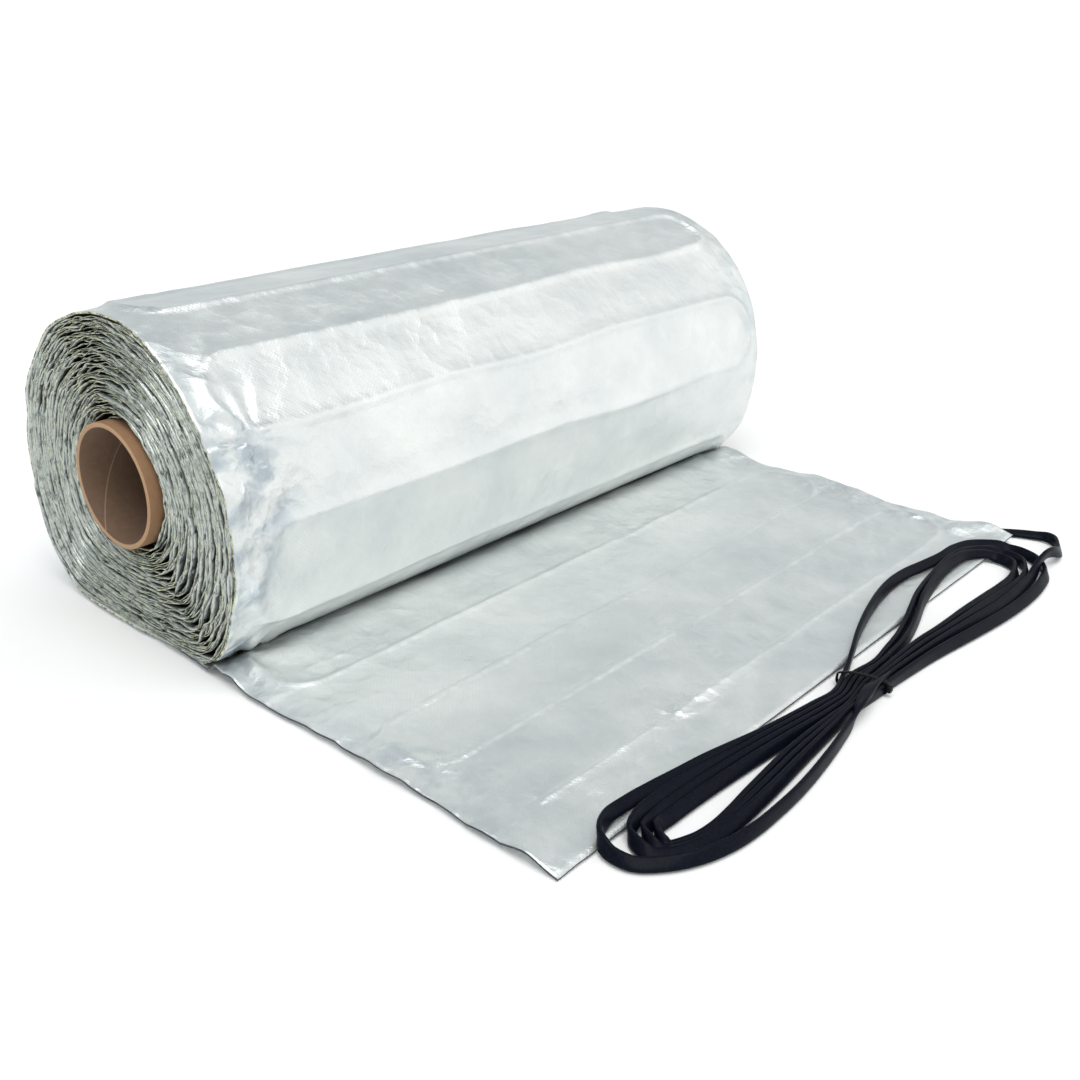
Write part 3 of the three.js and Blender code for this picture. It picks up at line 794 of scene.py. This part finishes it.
def kraft_material():
    """Brown paper board: fibres and slow stains, painted shade that darkens the inside of the tube, a tan rim
    with the plies' rings, and a pale seam that climbs round the inner wall."""
    material = plain("kraft_board", (0.36, 0.22, 0.13), 0.8)
    tree = material.node_tree
    place = add_node(tree, "ShaderNodeTexCoord").outputs["Object"]
    xyz = add_node(tree, "ShaderNodeSeparateXYZ", None, Vector=place)
    along_axis = xyz.outputs[0]
    y = sums(tree, "SUBTRACT", xyz.outputs[1], CORE_Y)
    z = sums(tree, "SUBTRACT", xyz.outputs[2], CORE_Z)
    square = sums(tree, "ADD", sums(tree, "MULTIPLY", y, y), sums(tree, "MULTIPLY", z, z))
    radius = sums(tree, "SQRT", square)
    fibres = noise(tree, place, 260.0, 6.0, 0.7)
    # painted shade: the tube's inner wall is coloured darker than its outside
    wall = between(tree, fibres, (0.120, 0.070, 0.042), (0.200, 0.125, 0.080))
    tan = between(tree, noise(tree, place, 26.0, 3.0), (0.40, 0.240, 0.130), (0.50, 0.315, 0.180))
    plies = sums(tree, "SINE", sums(tree, "MULTIPLY", radius, 9000.0))
    plies = sums(tree, "MULTIPLY", sums(tree, "ADD", plies, 1.0), 0.18)
    rim_colour = between(tree, plies, tan, (0.30, 0.18, 0.10))
    turn = sums(tree, "MULTIPLY", sums(tree, "ARCTAN2", y, z), SEAM_PITCH / (2 * np.pi))
    climb = sums(tree, "ADD", sums(tree, "ADD", along_axis, SEAM_START), turn)
    seam = sums(tree, "LESS_THAN", sums(tree, "PINGPONG", climb, SEAM_PITCH / 2), 0.00045)
    seamed = between(tree, sums(tree, "MULTIPLY", seam, 0.7), wall, (0.36, 0.245, 0.155))
    outside = between(tree, fibres, (0.22, 0.120, 0.060), (0.32, 0.180, 0.092))
    outer = sums(tree, "GREATER_THAN", radius, CORE_OUTSIDE - 0.0002)
    body = between(tree, outer, seamed, outside)
    whole = between(tree, sums(tree, "LESS_THAN", along_axis, CORE_NEAR + 0.0004), body, rim_colour)
    height = sums(tree, "MULTIPLY", fibres, 0.0004)
    height = sums(tree, "SUBTRACT", height, sums(tree, "MULTIPLY", seam, 0.0003))
    finish_surface(material, whole, height, 0.7)
    return material


core_tube.data.materials.append(kraft_material())
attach(core_tube, "root")
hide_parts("core_tube")


# A thin black nylon tie is pulled tight round the hank's waist. Its strap goes round under the strands and
# back into a small square head on the near side.
TIE_WIDE, TIE_THIN = 0.0026, 0.0009
TIE_NEAR, TIE_FAR, TIE_TOP = -0.3568, -0.3294, 0.0096
TIE_HEAD_SIZE = 0.0038

waist_round = np.array([
    (TIE_NEAR, 0.0050), (TIE_NEAR + 0.0006, 0.0078), (TIE_NEAR + 0.0040, TIE_TOP - 0.0008),
    (-0.3480, TIE_TOP), (-0.3390, TIE_TOP), (TIE_FAR - 0.0040, TIE_TOP - 0.0010),
    (TIE_FAR - 0.0004, 0.0070), (TIE_FAR, 0.0045), (TIE_FAR - 0.0006, 0.0015),
    (TIE_FAR - 0.0035, 0.0005), (-0.3430, 0.0005), (TIE_NEAR + 0.0035, 0.0005),
    (TIE_NEAR + 0.0008, 0.0015), (TIE_NEAR, 0.0042),
])
strap_line = flowing(waist_round, 0.0008)
strap_line = np.column_stack([WAIST + (strap_line[:, 0] + 0.343) * -0.30, strap_line])
along_lead = np.tile([1.0, 0.0, 0.0], (len(strap_line), 1))
strap_points, strap_faces = flat_tube(strap_line, along_lead, TIE_WIDE, TIE_THIN, 12)
head_mid = np.array([strap_line[0, 0], TIE_NEAR - 0.0004, 0.0046])
side, level = np.meshgrid(np.linspace(0, 2 * np.pi, 24, endpoint=False), np.array([-1, -0.8, 0.8, 1]))
square = (np.abs(np.cos(side)) ** 6 + np.abs(np.sin(side)) ** 6) ** (-1 / 6) * TIE_HEAD_SIZE / 2
square = square * np.where(np.abs(level) == 1, 0.86, 1.0)
head_points = head_mid + np.stack([
    np.cos(side) * square, level * TIE_HEAD_SIZE * 0.45, np.sin(side) * square,
], -1)
head_faces = [[k + len(strap_points) for k in face] for face in tube_faces(*side.shape)]
tie_points = np.vstack([strap_points, head_points.reshape(-1, 3)])
tie = add_piece("tie_strap", tie_points, strap_faces + head_faces)
NYLON_DARK = (0.0024, 0.0030, 0.0044)
NYLON_LIGHT = (0.0042, 0.0048, 0.0062)
nylon = speckled("tie_nylon", NYLON_DARK, NYLON_LIGHT, (0.35, 0.55), 0.00002, 900.0)
nylon.node_tree.nodes["Principled BSDF"].inputs["Specular IOR Level"].default_value = 0.12
tie.data.materials.append(nylon)
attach(tie, "root")
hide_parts("cable_tie")


# A plain pale floor under plain soft studio light: a wide strong lamp from above, a faint one from the front
# right, and a surround that is pale in front, a little darker low down behind and grey above.
bpy.ops.mesh.primitive_plane_add(size=120, location=(0, 0, -0.0004))
floor = bpy.context.object
floor.name = "floor"
floor.data.materials.append(plain("pale_floor", (0.90, 0.90, 0.90), 0.9))

world = bpy.data.worlds.new("studio")
bpy.context.scene.world = world
world.use_nodes = True
surround = world.node_tree
direction = add_node(surround, "ShaderNodeTexCoord").outputs["Generated"]
toward = add_node(surround, "ShaderNodeSeparateXYZ", None, Vector=direction)
above = ranged(surround, toward.outputs[2], 0.35, 0.70)
back = between(surround, above, (0.73, 0.76, 0.765), (0.32, 0.35, 0.365))
front = ranged(surround, toward.outputs[1], 0.35, -0.35)
paler = between(surround, front, back, (0.88, 0.885, 0.875))
surround.links.new(paler, surround.nodes["Background"].inputs["Color"])


def soft_sun(name, azimuth, elevation, spread, strength):
    """A far lamp at an azimuth and elevation, its disc as wide as the spread."""
    data = bpy.data.lights.new(name, "SUN")
    data.angle = np.radians(spread)
    data.energy = strength
    lamp = bpy.data.objects.new(name, data)
    matrix = np.eye(4)
    matrix[:3, :3] = looking(np.radians(azimuth), np.radians(elevation), 0)
    lamp.matrix_world = Matrix(matrix.tolist())
    bpy.context.scene.collection.objects.link(lamp)


soft_sun("key", 48, 16, 50, 0.18)
soft_sun("overhead", -40, 75, 50, 1.85)
bpy.context.scene.view_settings.view_transform = "Standard"
